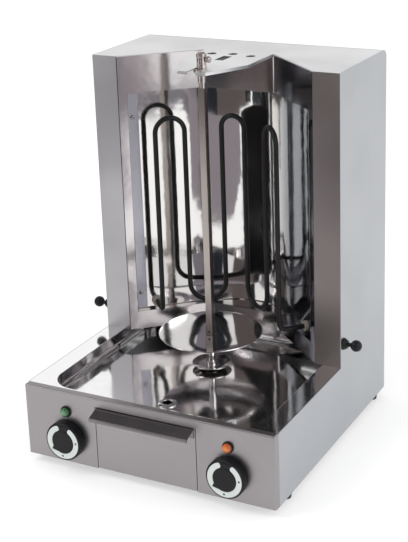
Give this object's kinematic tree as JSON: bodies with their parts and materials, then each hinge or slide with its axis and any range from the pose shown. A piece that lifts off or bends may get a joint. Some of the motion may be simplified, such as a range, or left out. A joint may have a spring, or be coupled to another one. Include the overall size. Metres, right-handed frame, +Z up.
{
  "type": "doner kebab grill",
  "caption": "Upright tabletop doner grill: sheet steel box with fat drawer and knobs, drip tray, rotating spit with dish, serpentine heater before a reflector, and a nose holding the top pin.",
  "frame": {"origin": "middle of the footprint on the table, under the feet", "axes": "+X to the right seen from the front, +Y to the rear, +Z up"},
  "size_m": [0.457, 0.456, 0.585],
  "materials": {
    "housing_steel": "vertically brushed sheet",
    "polished_steel": "mirror polished sheet",
    "turned_steel": "bright turned or drawn bar",
    "black_plastic": "fine matt",
    "dial_white": "smooth",
    "lens_green": "translucent smooth",
    "lens_orange": "translucent smooth",
    "rubber": "matt",
    "heater_tube": "dark oxide, satin",
    "ceramic_white": "glazed, off-white",
    "motor_grey": "satin"
  },
  "bodies": {
    "housing": {"back_panel": "housing_steel", "base_plate": "housing_steel", "cable_gland": "black_plastic", "clamp_boss_left": "black_plastic", "clamp_boss_right": "black_plastic", "drain_ring": "polished_steel", "drawer_rail_left": "housing_steel", "drawer_rail_right": "housing_steel", "foot_front_left": "rubber", "foot_front_right": "rubber", "foot_rear_left": "rubber", "foot_rear_right": "rubber", "front_panel": "housing_steel", "gear_motor": "motor_grey", "gland_nut": "black_plastic", "green_lamp_bezel": "black_plastic", "green_lamp_lens": "lens_green", "guide_nut": "turned_steel", "heater": "heater_tube", "heater_bushes": "ceramic_white", "hood_front": "polished_steel", "left_roof_panel": "housing_steel", "left_side_panel": "housing_steel", "left_switch": "black_plastic", "motor_bracket": "housing_steel", "nose_plate": "housing_steel", "orange_lamp_bezel": "black_plastic", "orange_lamp_lens": "lens_orange", "panel_screws": "turned_steel", "pin_guide": "turned_steel", "reflector": "polished_steel", "reflector_screws": "turned_steel", "reflector_spacer_left": "housing_steel", "reflector_spacer_right": "housing_steel", "reflector_strip_left": "housing_steel", "reflector_strip_right": "housing_steel", "right_roof_panel": "housing_steel", "right_side_panel": "housing_steel", "right_switch": "black_plastic", "shaft_bush": "turned_steel", "terminal_block": "ceramic_white", "tray": "polished_steel", "window_ledge": "housing_steel"},
    "rotor": {"drive_shaft": "turned_steel", "drive_saucer": "polished_steel", "meat_dish": "polished_steel", "spit": "turned_steel"},
    "left_control": {"left_knob": "black_plastic", "left_dial_ring": "dial_white", "left_knob_spindle": "turned_steel"},
    "right_control": {"right_knob": "black_plastic", "right_dial_ring": "dial_white", "right_knob_spindle": "turned_steel"},
    "drawer": {"drawer_pan": "housing_steel", "drawer_front": "housing_steel", "drawer_handle": "housing_steel"},
    "pin": {"top_pin": "turned_steel"},
    "thumb_screw": {"thumb_screw": "turned_steel"},
    "left_clamp": {"clamp_screw_left": "black_plastic"},
    "right_clamp": {"clamp_screw_right": "black_plastic"}
  },
  "joints": [
    {"name": "spit_turn", "type": "hinge", "parent": "housing", "child": "rotor", "pos_m": [0, -0.002, 0], "axis": [0, 0, 1], "continuous": true},
    {"name": "left_knob_turn", "type": "hinge", "parent": "housing", "child": "left_control", "pos_m": [-0.13, -0.206, 0.0515], "axis": [0, 1, 0], "range_deg": [0, 270]},
    {"name": "right_knob_turn", "type": "hinge", "parent": "housing", "child": "right_control", "pos_m": [0.13, -0.206, 0.0515], "axis": [0, 1, 0], "range_deg": [0, 270]},
    {"name": "drawer_slide", "type": "slide", "parent": "housing", "child": "drawer", "axis": [0, -1, 0], "range_m": [0, 0.13]},
    {"name": "pin_slide", "type": "slide", "parent": "housing", "child": "pin", "axis": [0, 0, 1], "range_m": [0, 0.014]},
    {"name": "thumb_screw_turn", "type": "hinge", "parent": "housing", "child": "thumb_screw", "pos_m": [0, -0.002, 0.576], "axis": [1, 0, 0], "range_deg": [0, 360]},
    {"name": "left_clamp_turn", "type": "hinge", "parent": "housing", "child": "left_clamp", "pos_m": [-0.2, 0.034, 0.159], "axis": [-1, 0, 0], "range_deg": [0, 360]},
    {"name": "right_clamp_turn", "type": "hinge", "parent": "housing", "child": "right_clamp", "pos_m": [0.2, 0.034, 0.159], "axis": [1, 0, 0], "range_deg": [0, 360]}
  ]
}
